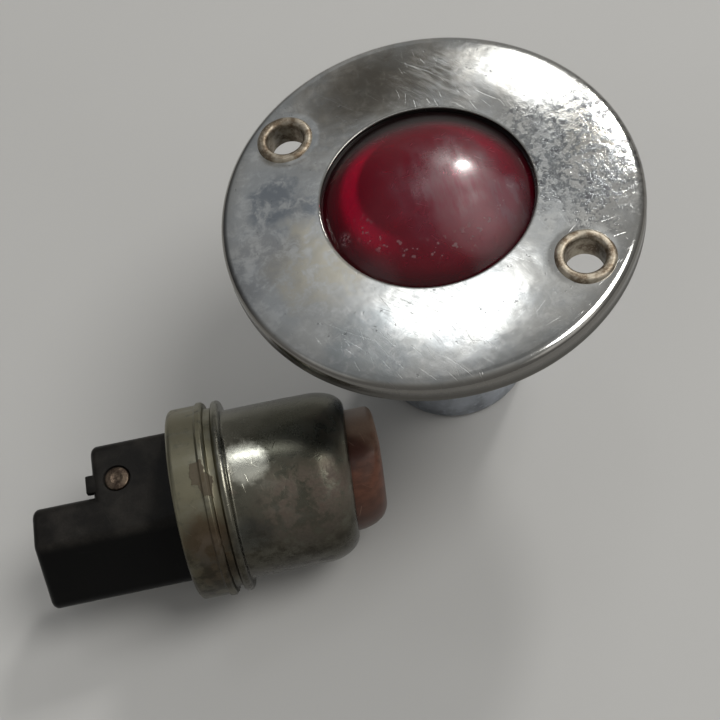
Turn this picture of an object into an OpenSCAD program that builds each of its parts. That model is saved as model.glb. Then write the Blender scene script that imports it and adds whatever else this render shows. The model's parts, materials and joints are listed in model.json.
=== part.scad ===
// Car courtesy light: a round plated lamp head with a red domed lens, standing
// on its tail, and its bulb holder lying beside it.
// The origin is on the lamp's axis, in the plane of the rim's lower edge, where
// the lamp seats on a panel. Z points out through the lens.

/* [Bezel] */
// Outside diameter of the bezel
bezel_d = 55; // [52:0.5:62]
// Depth of the turned-down rim
rim_depth = 3.2; // [2.6:0.1:5]
// Thickness of the bezel's sheet
bezel_t = 0.8; // [0.6:0.05:1]
// Radius of the shoulder between the face and the rim
rim_round = 1.3; // [1.1:0.1:2]
// Rise of the face from the rim's shoulder to the lens opening
face_crown = 0.6; // [0.2:0.1:1.2]
// Diameter of the opening that the lens shows through
lens_opening_d = 27.8; // [24:0.2:30]

/* [Screw eyelets] */
// Diameter of the circle through both eyelets
eyelet_pitch_d = 44; // [42:0.5:46]
// Bore of an eyelet, which takes the fixing screw
eyelet_bore_d = 4.9; // [4:0.1:5.4]
// Wall of an eyelet's barrel
eyelet_wall = 0.5; // [0.4:0.05:0.7]
// Width of the rolled ring round an eyelet's bore
eyelet_roll_w = 1.4; // [1.1:0.05:1.6]
// Width of the pressed flat that shows round an eyelet
eyelet_seat_w = 0.3; // [0.1:0.05:0.4]
// Direction of the lower right eyelet from the lamp's axis
eyelet_angle = -45; // [-90:1:0]

/* [Lens] */
// Rise of the lens dome above its edge
lens_rise = 5; // [3:0.25:8]
// Thickness of the lens wall
lens_wall = 2.2; // [1.6:0.1:2.6]
// Width of the lens flange that hides under the bezel
lens_lip_w = 1.9; // [1.4:0.1:2.4]
// Thickness of the lens flange
lens_lip_t = 1.2; // [1:0.1:1.5]
// Gap round the lens in the bezel's opening
lens_gap = 0.2; // [0.1:0.05:0.4]

/* [Gasket and reflector] */
// Thickness of the lens gasket
gasket_t = 0.8; // [0.6:0.1:1.2]
// Thickness of the reflector's sheet
reflector_t = 0.5; // [0.4:0.05:0.7]
// Diameter of the hole in the bottom of the reflector
reflector_throat_d = 18.4; // [14:0.2:20]
// Depth of the reflector below its flange
reflector_depth = 14; // [10:0.5:15]

/* [Lamp housing] */
// Sheet thickness of the housing and of the tail
housing_t = 0.8; // [0.6:0.05:1]
// Outside diameter of the housing's cup
cup_d = 29; // [28:0.25:30.5]
// Depth of the cup's floor below the panel plane
cup_depth = 17.5; // [16.5:0.5:22]
// Gap between the housing's flange and the inside of the rim
flange_gap = 0.9; // [0.5:0.1:1.2]

/* [Tail] */
// Outside diameter of the tail tube
tail_d = 24; // [23:0.25:25.5]
// Depth of the tail's mouth below the panel plane
tail_depth = 39.8; // [34:0.2:46]
// Outer radius at the tail's mouth
tail_round = 1; // [0.9:0.1:1.6]
// Length of the neck that is turned in at the mouth
neck_length = 4.5; // [3.5:0.25:6]
// Radial gap between the neck and the bulb socket
socket_gap = 0.2; // [0.1:0.05:0.4]

/* [Holder shell] */
// Diameter of the drawn can
can_d = 24.4; // [23.8:0.1:25]
// How far the crimped collar stands out from the can
collar_step = 1.5; // [1.3:0.05:1.8]
// Width of the collar
collar_w = 5.2; // [4.8:0.1:6]
// Width of the lip that is crimped over the base
lip_w = 1.7; // [1.2:0.1:2.2]
// How far the ridge stands out from the collar
ridge_step = 0.3; // [0.1:0.05:0.6]
// How far the groove beside the collar stands out from the can
groove_step = 0.7; // [0.4:0.05:1]
// Width of the groove
groove_w = 1.1; // [0.8:0.1:1.6]
// How far the rolled bead stands out from the can
bead_step = 1.6; // [1.2:0.05:1.9]
// Width of the bead
bead_w = 1.3; // [1:0.1:1.8]
// Length of the shell from the collar's end to the can's end
shell_length = 24.5; // [23.5:0.25:28]
// Width of the flat land between the can's hole and its rounded corner
can_land = 0.35; // [0.2:0.05:0.9]
// Length of the can's rounded shoulder
can_shoulder = 5; // [3:0.1:6]
// Sheet thickness of the shell
shell_t = 0.8; // [0.6:0.05:0.9]

/* [Bulb socket] */
// Diameter of the brown socket
socket_d = 17.4; // [16.4:0.1:18]
// How far the socket stands out of the can
socket_reach = 4.2; // [3:0.1:6]
// Edge radius at the socket's mouth
socket_round = 1.2; // [0.4:0.05:1.6]
// Radial gap between the socket and the hole in the can
can_hole_gap = 0.15; // [0.1:0.05:0.3]
// Outside diameter of the bayonet sleeve
sleeve_d = 10.9; // [10.8:0.05:11.4]
// Depth of the sleeve's mouth inside the socket
sleeve_recess = 1.1; // [0.6:0.1:2]

/* [Bulb] */
// Diameter of the bulb's cap
cap_d = 9.2; // [9:0.05:9.4]
// Diameter of the bulb's glass
glass_d = 8.4; // [7.8:0.1:8.5]
// Wall of the bulb's glass
glass_wall = 0.5; // [0.4:0.05:0.7]
// Length of the bulb's cap
cap_length = 8.3; // [7.5:0.1:9]
// Overall length of the bulb
bulb_length = 20.4; // [19.8:0.1:20.6]
// Distance between the posts that hold the filament
post_spread = 4; // [3:0.1:4.4]
// Diameter of a post
post_d = 0.4; // [0.3:0.05:0.5]
// Distance of the filament below the glass's tip
filament_drop = 4; // [3.4:0.1:5]
// Diameter of a bayonet pin
pin_d = 1.6; // [1.4:0.05:1.8]
// How far a pin stands out of the cap
pin_reach = 0.7; // [0.5:0.05:0.75]
// How far the bulb can be pressed in
press_travel = 1.5; // [1:0.1:1.8]
// Angle from the bayonet seat to the entry slot
bayonet_turn = 38; // [34:1:50]

/* [Terminal block] */
// Length of the long plug shroud in front of the collar
long_shroud = 21; // [19:0.5:26]
// Length of the short plug shroud in front of the collar
short_shroud = 12.5; // [11:0.5:14]
// Height of the block's top above the holder's axis
block_top = 2.7; // [2.2:0.1:3]
// Wall of the shrouds
shroud_wall = 1.3; // [1:0.05:1.5]
// Radius on the shrouds' long edges
shroud_round = 1.6; // [0.6:0.05:2]
// Depth of solid moulding behind each shroud's cavity
shroud_root = 2.5; // [2:0.25:4]
// Width of a blade terminal
blade_w = 4.8; // [4:0.1:4.9]
// Thickness of a blade terminal
blade_t = 0.8; // [0.5:0.05:0.8]
// How far the long blade's tip lies inside its shroud
blade_recess = 5; // [4.8:0.1:8]
// How far the short blade's tip lies inside its shroud
short_blade_recess = 5; // [4.8:0.1:6]
// Diameter of the rivet's head on the short shroud
rivet_d = 3.6; // [3:0.1:4]

/* [Spring contact] */
// Diameter of the spring's wire
wire_d = 0.6; // [0.45:0.05:0.6]
// Outside diameter of the spring
spring_d = 7; // [6:0.1:7.6]
// Number of turns in the spring
spring_turns = 3; // [2:1:3]
// Length of the spring with the bulb in place
spring_length = 4; // [3.8:0.1:4.6]

/* [Place of the loose holder] */
// Sideways place of the collar's end from the lamp's axis
holder_x = -44.7; // [-55:0.1:-42]
// Front to back place of the collar's end from the lamp's axis
holder_y = -18.8; // [-30:0.1:-16]
// Heading of the holder's axis
holder_yaw = -3; // [-12:0.5:6]

/* [Hidden] */
$fn = 96;
cut = 1;

// Lamp head, worked outwards and downwards from the bezel
bezel_r = bezel_d / 2;
opening_r = lens_opening_d / 2;
shoulder_r = bezel_r - rim_round;
eyelet_r = eyelet_pitch_d / 2;
bore_r = eyelet_bore_d / 2;
barrel_r = bore_r + eyelet_wall;
barrel_gap = 0.05;
roll_r = eyelet_roll_w / 2;
seat_r = bore_r + eyelet_roll_w + eyelet_seat_w;
seat_z = rim_depth;
flange_top = seat_z - bezel_t;
flange_under = flange_top - housing_t;
flange_r = bezel_r - bezel_t - flange_gap;
foot_round = 0.4;

lens_r = opening_r - lens_gap;
lens_lip_r = lens_r + lens_lip_w;
lens_lip_top = face_z(lens_lip_r) - bezel_t;
lens_foot = lens_lip_top - lens_lip_t;
dome_r = (lens_r ^ 2 + lens_rise ^ 2) / (2 * lens_rise);
dome_centre = lens_lip_top + lens_rise - dome_r;
gasket_foot = lens_foot - gasket_t;
ledge_z = gasket_foot - reflector_t;
well_gap = 0.5;
well_r = lens_lip_r + well_gap;
cup_r = cup_d / 2;
cup_in_r = cup_r - housing_t;
mouth_r = lens_r - lens_wall;
throat_r = reflector_throat_d / 2;

tail_r = tail_d / 2;
tail_in_r = tail_r - housing_t;
socket_r = socket_d / 2;
neck_r = socket_r + socket_gap;
tail_lip = 1.2;
tail_fit = 0.05;

// Holder, measured along its own axis from the collar's end
can_r = can_d / 2;
can_in_r = can_r - shell_t;
can_hole_r = socket_r + can_hole_gap;
can_round = can_r - can_hole_r - can_land;
collar_r = can_r + collar_step;
collar_wall = 0.6;
collar_in_r = collar_r - collar_wall;
lip_r = collar_r - lip_w;
ridge_r = collar_r + ridge_step;
ridge_w = 0.6;
groove_r = can_r + groove_step;
bead_r = can_r + bead_step;
edge = 0.3;
groove_end = collar_w + groove_w;
bead_end = groove_end + bead_w;
base_start = shell_t;
base_fit = 0.1;
base_r = collar_in_r - base_fit;
seal_t = 0.8;
shoulder_x = collar_w - edge / 2;
base_end = shoulder_x - seal_t;
socket_end = shell_length + socket_reach;

washer_t = 1.2;
washer_gap = 0.3;
washer_margin = 1;
sleeve_start = base_end + washer_t;
sleeve_flange_t = 0.8;
socket_start = sleeve_start + sleeve_flange_t;
sleeve_end = socket_end - sleeve_recess;
sleeve_r = sleeve_d / 2;
cap_r = cap_d / 2;
cap_gap = 0.15;
sleeve_in_r = cap_r + cap_gap;
sleeve_fit = 0.05;
sleeve_flange_r = socket_r - 2 * sleeve_fit;
socket_bore_r = sleeve_r + sleeve_fit;
socket_flange_t = 1.5;
socket_flange_gap = 0.2;
socket_flange_r = can_in_r - socket_flange_gap;
socket_flange_end = shell_length - can_shoulder - sleeve_fit;

// Bulb and spring contact
pocket_floor = 2;
live_t = 0.4;
live_gap = 0.2;
contact_gap = 0.1;
button_h = 0.5;
button_r = 2.2;
disc_h = 0.8;
shank_r = 1.5;
spring_foot = pocket_floor + live_t;
disc_foot = spring_foot + spring_length;
disc_top = disc_foot + disc_h;
bulb_foot = disc_top + button_h + contact_gap;
bulb_tip = bulb_foot + bulb_length;
solder_h = 0.7;
solder_r = 1.7;
insulator_h = 0.9;
insulator_r = 2.4;
cap_start = bulb_foot + solder_h + insulator_h;
cap_end = cap_start + cap_length;
cap_wall = 0.3;
glass_r = glass_d / 2;
glass_seat = 2.2;
glass_start = cap_end - glass_seat;
post_r = post_d / 2;
bead_at = 1.2;
bead_overlap = 0.6;
bead_size = [1.6, post_spread + 2 * bead_overlap, 1.4];
post_fit = 0.05;
pin_along = 5;
pin_x = cap_start + pin_along;
pin_r = pin_d / 2;
slot_gap = 0.15;
spring_r = spring_d / 2;
pocket_gap = 0.8;
pocket_r = spring_r + pocket_gap;
disc_r = sleeve_in_r - cap_gap;

// The loose holder rests on its ridge and, but for a hair, on the can's shoulder
rest_x = collar_w - edge;
drop_run = shell_length - can_round - rest_x;
drop_rise = ridge_r - can_r + can_round;
holder_tilt = atan2(drop_rise, drop_run) - asin(can_round / norm([drop_run, drop_rise]));
holder_z = -tail_depth + rest_x * sin(holder_tilt) + ridge_r * cos(holder_tilt);

// Shroud sections, as sideways and upward places from the holder's axis
long_side = 3.2;
long_section = [[long_side, block_top], [-3, block_top], [-9.7, -5.2], [-8.6, -7.6], [long_side, -7.6]];
short_side = 2.2;
short_root = 0;
long_blade = [-2.4, -2.8];
short_blade = [6.5, -1.4];
rivet_at = [-8.9, 5];
rivet_h = 0.5;
rivet_shank_d = rivet_d / 2;
rivet_tail = 0.3;
dimple = 0.4;
dimple_margin = 0.4;
lug_at = 3.6;
lug = [1, 2.8, 1.1];
blade_hole_d = blade_w / 3;
blade_hole_at = 2 * blade_hole_d;
blade_nose = blade_w / 4;
blade_nose_angle = 30;

function face_z(r) =
    rim_depth + face_crown * (1 - ((r - opening_r) / (shoulder_r - opening_r)) ^ 2);
function arc(c, r, from, to, n = 6) =
    [for (i = [0:n]) let (a = from + (to - from) * i / n) c + r * [cos(a), sin(a)]];
function oval(c, across, along, from, to, n) =
    [for (i = [0:n]) let (a = from + (to - from) * i / n) c + [across * cos(a), along * sin(a)]];
function edge_normal(p, i) =
    let (d = p[(i + 1) % len(p)] - p[i]) [d[1], -d[0]] / norm(d);
function corner_shift(p, i) =
    let (a = edge_normal(p, (i + len(p) - 1) % len(p)), b = edge_normal(p, i)) (a + b) / (1 + a * b);
function inset(p, d) = [for (i = [0:len(p) - 1]) p[i] - d * corner_shift(p, i)];
function short_section(side) =
    [[11.2, block_top], [side, block_top], [side, -5.5], [9.2, -5.5], [11.2, -2.5]];
function turned(v, a) = [v[0] * cos(a) - v[1] * sin(a), v[0] * sin(a) + v[1] * cos(a)];
function rounded(p, r, n = 5) = [
    for (i = [0:len(p) - 1])
        let (a = edge_normal(p, (i + len(p) - 1) % len(p)), b = edge_normal(p, i),
             c = p[i] - r * corner_shift(p, i), turn = acos(a * b))
        for (k = [0:n]) c + r * turned(a, turn * k / n)];

// A tube swept along a helix: rings of points round the wire, joined in turn
function helix_points(r, pitch, turns, wire, steps, sides) = [
    for (i = [0:steps * turns])
        let (a = 360 * i / steps, z = pitch * i / steps)
        for (k = [0:sides - 1])
            let (b = 360 * k / sides, w = wire * cos(b))
            [(r + w) * cos(a), (r + w) * sin(a), z + wire * sin(b)]];
function tube_faces(rings, sides) = concat(
    [[for (k = [0:sides - 1]) k]],
    [for (i = [0:rings - 2]) for (k = [0:sides - 1])
        let (a = i * sides + k, b = i * sides + (k + 1) % sides) [a, a + sides, b + sides, b]],
    [[for (k = [sides - 1:-1:0]) (rings - 1) * sides + k]]);

module ring(r_out, r_in, h) {
    difference() {
        cylinder(r = r_out, h = h);
        translate([0, 0, -cut]) cylinder(r = r_in, h = h + 2 * cut);
    }
}

// Puts what is built up along Z onto the loose holder's axis
module on_holder() {
    translate([holder_x, holder_y, holder_z]) rotate([0, holder_tilt, holder_yaw])
        rotate([0, 90, 0]) children();
}

// Extrudes a shroud section from one place on the holder's axis to another
module prism(section, from, to) {
    translate([0, 0, from]) linear_extrude(to - from)
        polygon([for (p = section) [-p[1], p[0]]]);
}

module at_eyelet(side) {
    rotate([0, 0, eyelet_angle + side * 180]) translate([eyelet_r, 0, 0]) children();
}

module bezel() {
    face = [for (i = [0:6]) let (r = shoulder_r + (opening_r - shoulder_r) * i / 6) [r, face_z(r)]];
    under = [for (p = face) p - [0, bezel_t]];
    color("gainsboro") difference() {
        union() {
            rotate_extrude() polygon(concat(
                [[bezel_r - bezel_t, 0], [bezel_r, 0]],
                arc([shoulder_r, rim_depth - rim_round], rim_round, 0, 90, 6),
                [for (i = [1:6]) face[i]],
                [for (i = [6:-1:1]) under[i]],
                arc([shoulder_r, rim_depth - rim_round], rim_round - bezel_t, 90, 0, 4)));
            for (side = [0, 1]) at_eyelet(side)
                translate([0, 0, flange_top]) cylinder(r = seat_r, h = bezel_t);
        }
        for (side = [0, 1]) at_eyelet(side) {
            translate([0, 0, seat_z]) cylinder(r = seat_r, h = face_crown + cut);
            cylinder(r = barrel_r + barrel_gap, h = seat_z + cut);
        }
    }
}

module eyelet(side) {
    foot_r = bore_r + eyelet_roll_w;
    color("tan") at_eyelet(side) rotate_extrude() polygon(concat(
        [[bore_r, 0]],
        arc([foot_r - foot_round, foot_round], foot_round, -90, 0, 4),
        [[foot_r, flange_under], [barrel_r, flange_under], [barrel_r, seat_z]],
        arc([bore_r + roll_r, seat_z], roll_r, 0, 180, 8)));
}

module eyelet_left() { eyelet(1); }
module eyelet_right() { eyelet(0); }

module lens() {
    color("darkred") difference() {
        union() {
            translate([0, 0, lens_foot]) cylinder(r = lens_lip_r, h = lens_lip_t);
            intersection() {
                translate([0, 0, dome_centre]) sphere(r = dome_r);
                translate([0, 0, lens_foot]) cylinder(r = lens_r, h = lens_lip_t + lens_rise + cut);
            }
        }
        translate([0, 0, dome_centre]) sphere(r = dome_r - lens_wall);
    }
}

module lens_gasket() {
    color("dimgray") translate([0, 0, gasket_foot]) ring(lens_lip_r, mouth_r, gasket_t);
}

module reflector() {
    steps = 7;
    inner = [for (i = [0:steps]) let (u = i / steps)
        [throat_r + (mouth_r - throat_r) * sqrt(u), gasket_foot - reflector_depth * (1 - u)]];
    color("whitesmoke") rotate_extrude() polygon(concat(
        inner,
        [[lens_lip_r, gasket_foot], [lens_lip_r, ledge_z]],
        [for (i = [steps:-1:0]) inner[i] + [reflector_t, i == steps ? -reflector_t : 0]]));
}

module lamp_housing() {
    floor_z = -cup_depth;
    hole_r = tail_r + tail_fit;
    color("slategray") difference() {
        rotate_extrude() polygon([
            [flange_r, flange_under], [flange_r, flange_top], [well_r, flange_top],
            [well_r, ledge_z], [cup_in_r, ledge_z], [cup_in_r, floor_z + housing_t],
            [hole_r, floor_z + housing_t], [hole_r, floor_z], [cup_r, floor_z],
            [cup_r, ledge_z - housing_t], [well_r + housing_t, ledge_z - housing_t],
            [well_r + housing_t, flange_under]]);
        for (side = [0, 1]) at_eyelet(side) translate([0, 0, flange_under - cut])
            cylinder(r = barrel_r + barrel_gap, h = housing_t + 2 * cut);
    }
}

module tail_tube() {
    inner_z = -cup_depth + housing_t;
    color("lightsteelblue") rotate_extrude() polygon(concat(
        [[neck_r, -tail_depth]],
        arc([tail_r - tail_round, tail_round - tail_depth], tail_round, -90, 0, 5),
        [[tail_r, -cup_depth - housing_t], [tail_r + tail_lip, -cup_depth - housing_t],
         [tail_r + tail_lip, -cup_depth], [tail_r, -cup_depth], [tail_r, inner_z],
         [tail_r + tail_lip, inner_z], [tail_r + tail_lip, inner_z + housing_t],
         [tail_in_r, inner_z + housing_t], [tail_in_r, housing_t - tail_depth],
         [neck_r + housing_t, housing_t - tail_depth],
         [neck_r + housing_t, neck_length - tail_depth], [neck_r, neck_length - tail_depth]]));
}

module holder_shell() {
    bead_arc = (bead_end - groove_end) / 2;
    shoulder = [can_r - can_round, shell_length - can_shoulder];
    color("silver") on_holder() rotate_extrude() polygon(concat(
        [[lip_r, 0]],
        arc([collar_r - shell_t, shell_t], shell_t, -90, 0, 4),
        [[collar_r, collar_w - ridge_w - 2 * edge], [ridge_r, collar_w - ridge_w - edge],
         [ridge_r, collar_w - edge], [ridge_r - edge, collar_w], [groove_r, collar_w],
         [groove_r, groove_end]],
        arc([bead_r - bead_arc, groove_end + bead_arc], bead_arc, -90, 90, 6),
        [[can_r, bead_end]],
        oval(shoulder, can_round, can_shoulder, 0, 90, 8),
        [[can_hole_r, shell_length], [can_hole_r, shell_length - shell_t]],
        oval(shoulder, can_round - shell_t, can_shoulder - shell_t, 90, 0, 6),
        [[can_in_r, shoulder_x], [collar_in_r, shoulder_x], [collar_in_r, shell_t], [lip_r, shell_t]]));
}

module seal_ring() {
    color("black") on_holder() translate([0, 0, base_end]) ring(base_r, can_in_r, seal_t);
}

module blade_slot(at, from, to) {
    translate([-at[1] - blade_t / 2, at[0] - blade_w / 2, from]) cube([blade_t, blade_w, to - from]);
}

module terminal_block() {
    short_in = inset(short_section(short_side), shroud_wall);
    color("#1c1c1e") on_holder() difference() {
        union() {
            translate([0, 0, base_start]) cylinder(r = base_r, h = base_end - base_start);
            prism(rounded(long_section, shroud_round), -long_shroud, base_start);
            prism(rounded(short_section(short_root), shroud_round), -short_shroud, base_start);
            translate([shroud_wall - block_top - lug[2], lug_at, -short_shroud - lug[0]])
                cube([lug[2], lug[1], lug[0] + shroud_root]);
        }
        prism(inset(long_section, shroud_wall), -long_shroud - cut, -shroud_root);
        prism(short_in, -short_shroud - lug[0] - cut, -shroud_root);
        translate([0, 0, pocket_floor]) cylinder(r = pocket_r, h = base_end - pocket_floor + cut);
        translate([-block_top - cut, rivet_at[1], rivet_at[0]]) rotate([0, 90, 0]) {
            cylinder(r = rivet_d / 2 + dimple_margin, h = cut + dimple);
            cylinder(d = rivet_shank_d, h = cut + 2 * shroud_wall);
        }
        blade_slot(long_blade, -shroud_root - cut, pocket_floor + cut);
        blade_slot(short_blade, -shroud_root - cut, base_end + cut);
    }
}

// A push-on blade with a holed tip and a nose that narrows on both sides
module blade(at, from, to) {
    difference() {
        blade_slot(at, from, to);
        translate([-at[1] - cut, at[0], from + blade_hole_at]) rotate([0, 90, 0])
            cylinder(d = blade_hole_d, h = 2 * cut);
        for (side = [-1, 1]) translate([-at[1] - cut, at[0] + side * blade_w / 2, from])
            rotate([side * blade_nose_angle, 0, 0])
                translate([0, -blade_nose / 2, -2 * blade_nose]) cube([2 * cut, blade_nose, 3 * blade_nose]);
    }
}

module live_terminal() {
    color("goldenrod") on_holder() blade(long_blade, blade_recess - long_shroud, pocket_floor);
}

module earth_terminal() {
    color("goldenrod") on_holder() blade(short_blade, short_blade_recess - short_shroud, base_end);
}

module terminal_rivet() {
    color("peru") on_holder() translate([-block_top + dimple, rivet_at[1], rivet_at[0]]) rotate([0, -90, 0]) {
        rotate_extrude() polygon(concat([[0, 0]], arc([rivet_d / 2 - rivet_h, 0], rivet_h, 0, 90, 5),
                                        [[0, rivet_h]]));
        translate([0, 0, dimple - shroud_wall - rivet_tail])
            cylinder(d = rivet_shank_d, h = shroud_wall + rivet_tail - dimple);
    }
}

module live_contact() {
    color("goldenrod") on_holder() translate([0, 0, pocket_floor]) cylinder(r = pocket_r - live_gap, h = live_t);
}

module earth_washer() {
    color("goldenrod") on_holder() translate([0, 0, base_end])
        ring(can_in_r - washer_gap, pocket_r + washer_margin, washer_t);
}

module bulb_socket() {
    color("#7a4a3c") on_holder() rotate_extrude() polygon(concat(
        [[socket_bore_r, socket_start], [socket_r, socket_start],
         [socket_r, socket_flange_end - socket_flange_t],
         [socket_flange_r, socket_flange_end - socket_flange_t],
         [socket_flange_r, socket_flange_end], [socket_r, socket_flange_end]],
        arc([socket_r - socket_round, socket_end - socket_round], socket_round, 0, 90, 5),
        [[socket_bore_r, socket_end]]));
}

// A wedge of the sleeve's wall between two angles and two places on the axis
module sleeve_window(from_angle, to_angle, from, to) {
    reach = (sleeve_r + cut) / cos((to_angle - from_angle) / 2);
    translate([0, 0, from]) linear_extrude(to - from)
        polygon([[0, 0], for (a = [from_angle, to_angle]) reach * [cos(a), sin(a)]]);
}

module bayonet_sleeve() {
    half_w = pin_r + slot_gap;
    half = asin(half_w / sleeve_in_r);
    run_start = pin_x - press_travel - half_w;
    run_end = run_start + 2 * half_w;
    profile = [[sleeve_in_r, sleeve_start], [sleeve_flange_r, sleeve_start],
               [sleeve_flange_r, socket_start], [sleeve_r, socket_start],
               [sleeve_r, sleeve_end], [sleeve_in_r, sleeve_end]];
    color("gold") on_holder() difference() {
        rotate_extrude() polygon(profile);
        for (side = [0, 180]) rotate([0, 0, side]) {
            sleeve_window(-half, bayonet_turn + half, run_start, run_end);
            sleeve_window(-half, half, run_start, run_end + press_travel);
            sleeve_window(bayonet_turn - half, bayonet_turn + half, run_start, sleeve_end + cut);
        }
    }
}

module contact_spring() {
    steps = 20;
    sides = 8;
    run = disc_foot - spring_foot - wire_d;
    color("lightgray") on_holder() translate([0, 0, spring_foot + wire_d / 2])
        polyhedron(helix_points(spring_r - wire_d / 2, run / spring_turns, spring_turns, wire_d / 2, steps, sides),
                   tube_faces(steps * spring_turns + 1, sides));
}

module plunger_disc() {
    color("saddlebrown") on_holder() translate([0, 0, disc_foot]) ring(disc_r, shank_r, disc_h);
}

module plunger_contact() {
    color("goldenrod") on_holder() {
        translate([0, 0, disc_foot]) cylinder(r = shank_r - post_fit, h = disc_h);
        translate([0, 0, disc_top]) cylinder(r = button_r, h = button_h);
    }
}

module bulb_cap() {
    color("silver") on_holder() difference() {
        union() {
            translate([0, 0, cap_start]) cylinder(r = cap_r, h = cap_length);
            translate([0, 0, pin_x]) rotate([0, 90, 0])
                cylinder(r = pin_r, h = 2 * (cap_r + pin_reach), center = true);
        }
        translate([0, 0, cap_start + cap_wall]) cylinder(r = cap_r - cap_wall, h = cap_length);
    }
}

// A tube of the glass's radius from one place on the axis, closed by a dome at another
module domed_tube(r, from, dome_x) {
    translate([0, 0, from]) cylinder(r = r, h = dome_x - from);
    translate([0, 0, dome_x]) intersection() {
        sphere(r = r);
        cylinder(r = r + cut, h = r + cut);
    }
}

module bulb_glass() {
    dome_x = bulb_tip - glass_r;
    color("white", 0.4) on_holder() difference() {
        union() {
            translate([0, 0, glass_start]) cylinder(r = cap_r - cap_wall, h = glass_seat);
            domed_tube(glass_r, glass_start, dome_x);
        }
        domed_tube(glass_r - glass_wall, glass_start + glass_wall, dome_x);
    }
}

module bulb_filament() {
    top_x = bulb_tip - filament_drop;
    post_start = glass_start + glass_wall;
    color("dimgray") on_holder() {
        for (side = [-1, 1]) translate([0, side * post_spread / 2, post_start])
            cylinder(r = post_r, h = top_x - post_start);
        translate([0, 0, top_x - post_r]) rotate([90, 0, 0])
            cylinder(d = post_d + 2 * post_fit, h = post_spread, center = true);
    }
}

module filament_bead() {
    color("lightcyan") on_holder() translate([0, 0, cap_end + bead_at]) difference() {
        cube(bead_size, center = true);
        for (side = [-1, 1]) translate([0, side * post_spread / 2, 0])
            cylinder(r = post_r + post_fit, h = bead_size[2] + cut, center = true);
    }
}

module cap_insulator() {
    color("#101018") on_holder() translate([0, 0, cap_start - insulator_h])
        cylinder(r1 = insulator_r, r2 = cap_r - cap_wall, h = insulator_h);
}

module bulb_contact() {
    color("lightgray") on_holder() translate([0, 0, bulb_foot])
        cylinder(r1 = solder_r - solder_h / 2, r2 = solder_r, h = solder_h);
}

bezel();
eyelet_left();
eyelet_right();
lens();
lens_gasket();
reflector();
lamp_housing();
tail_tube();
holder_shell();
seal_ring();
terminal_block();
live_terminal();
earth_terminal();
terminal_rivet();
live_contact();
earth_washer();
bulb_socket();
bayonet_sleeve();
contact_spring();
plunger_disc();
plunger_contact();
bulb_cap();
bulb_glass();
bulb_filament();
filament_bead();
cap_insulator();
bulb_contact();
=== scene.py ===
import json
import math
from types import SimpleNamespace

import bmesh
import bpy
from bpy.props import FloatProperty, FloatVectorProperty, PointerProperty
from mathutils import Matrix, Vector, noise


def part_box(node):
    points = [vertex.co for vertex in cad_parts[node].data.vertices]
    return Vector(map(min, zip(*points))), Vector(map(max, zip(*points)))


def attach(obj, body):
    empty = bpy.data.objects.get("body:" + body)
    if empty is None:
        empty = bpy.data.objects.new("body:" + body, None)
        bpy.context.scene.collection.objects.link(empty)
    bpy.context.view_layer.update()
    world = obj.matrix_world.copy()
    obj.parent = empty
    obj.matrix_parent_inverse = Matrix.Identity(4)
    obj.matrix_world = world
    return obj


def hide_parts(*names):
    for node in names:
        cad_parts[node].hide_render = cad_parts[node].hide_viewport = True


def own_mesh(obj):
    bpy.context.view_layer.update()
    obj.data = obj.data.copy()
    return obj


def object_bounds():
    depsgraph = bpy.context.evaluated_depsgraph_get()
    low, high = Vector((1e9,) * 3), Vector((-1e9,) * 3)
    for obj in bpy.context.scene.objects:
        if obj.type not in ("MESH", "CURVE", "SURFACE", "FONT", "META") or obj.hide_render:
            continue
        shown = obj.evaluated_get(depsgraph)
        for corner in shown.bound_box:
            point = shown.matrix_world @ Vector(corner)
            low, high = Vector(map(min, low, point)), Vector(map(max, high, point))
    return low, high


bl_info = {
    "name": "Car Courtesy Light",
    "version": (1, 0, 0),
    "blender": (4, 5, 0),
    "location": "3D View > Sidebar > Courtesy Light",
    "description": "Dresses a packed courtesy light and its bulb holder and sets them in a small studio",
    "category": "Object",
}

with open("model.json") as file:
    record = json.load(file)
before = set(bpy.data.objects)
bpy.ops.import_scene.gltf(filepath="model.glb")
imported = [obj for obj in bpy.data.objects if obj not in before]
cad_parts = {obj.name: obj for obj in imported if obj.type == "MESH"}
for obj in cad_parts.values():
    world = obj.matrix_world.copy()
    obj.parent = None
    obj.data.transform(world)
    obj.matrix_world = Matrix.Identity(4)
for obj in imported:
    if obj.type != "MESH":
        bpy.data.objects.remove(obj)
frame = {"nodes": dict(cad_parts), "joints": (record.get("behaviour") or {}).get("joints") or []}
cad_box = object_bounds()

MM = 0.001
SHARP_ANGLE = math.radians(35)

# Meshes and finishes are worked out in millimetres. Settings, objects and their places are in metres.


def joint(name):
    """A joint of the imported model."""
    return next(j for j in frame["joints"] if j["name"] == name)


def joint_axis(name):
    return Vector(joint(name)["axis"]).normalized()


def box_of(node):
    """A node's lowest and highest corners."""
    return [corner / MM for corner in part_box(node)]


def middle_of(node):
    low, high = box_of(node)
    return (low + high) / 2


def radius_of(node):
    """Half a node's width."""
    low, high = box_of(node)
    return (high.x - low.x) / 2


def holder_matrix():
    """The loose holder's own frame: X sideways, Y up, Z along its axis from the collar's end."""
    along = -joint_axis("bulb_press")
    side = Vector((-along.y, along.x, 0)).normalized()
    over = along.cross(side)
    start = min(along.dot(v.co) for v in frame["nodes"]["holder_shell"].data.vertices)
    middle = middle_of("plunger_disc") * MM
    place = middle + along * (start - along.dot(middle))
    return Matrix.Translation(place) @ Matrix((side, over, along)).transposed().to_4x4()


HOLDER = holder_matrix()
FRAMES = {"lamp": Matrix.Identity(4), "holder": HOLDER}


# Sizes and colours that can be set


def length(name, description, default, high=100):
    return FloatProperty(name=name, description=description, default=default * MM,
                         min=0.0, max=high * MM, precision=5, unit="LENGTH")


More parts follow.
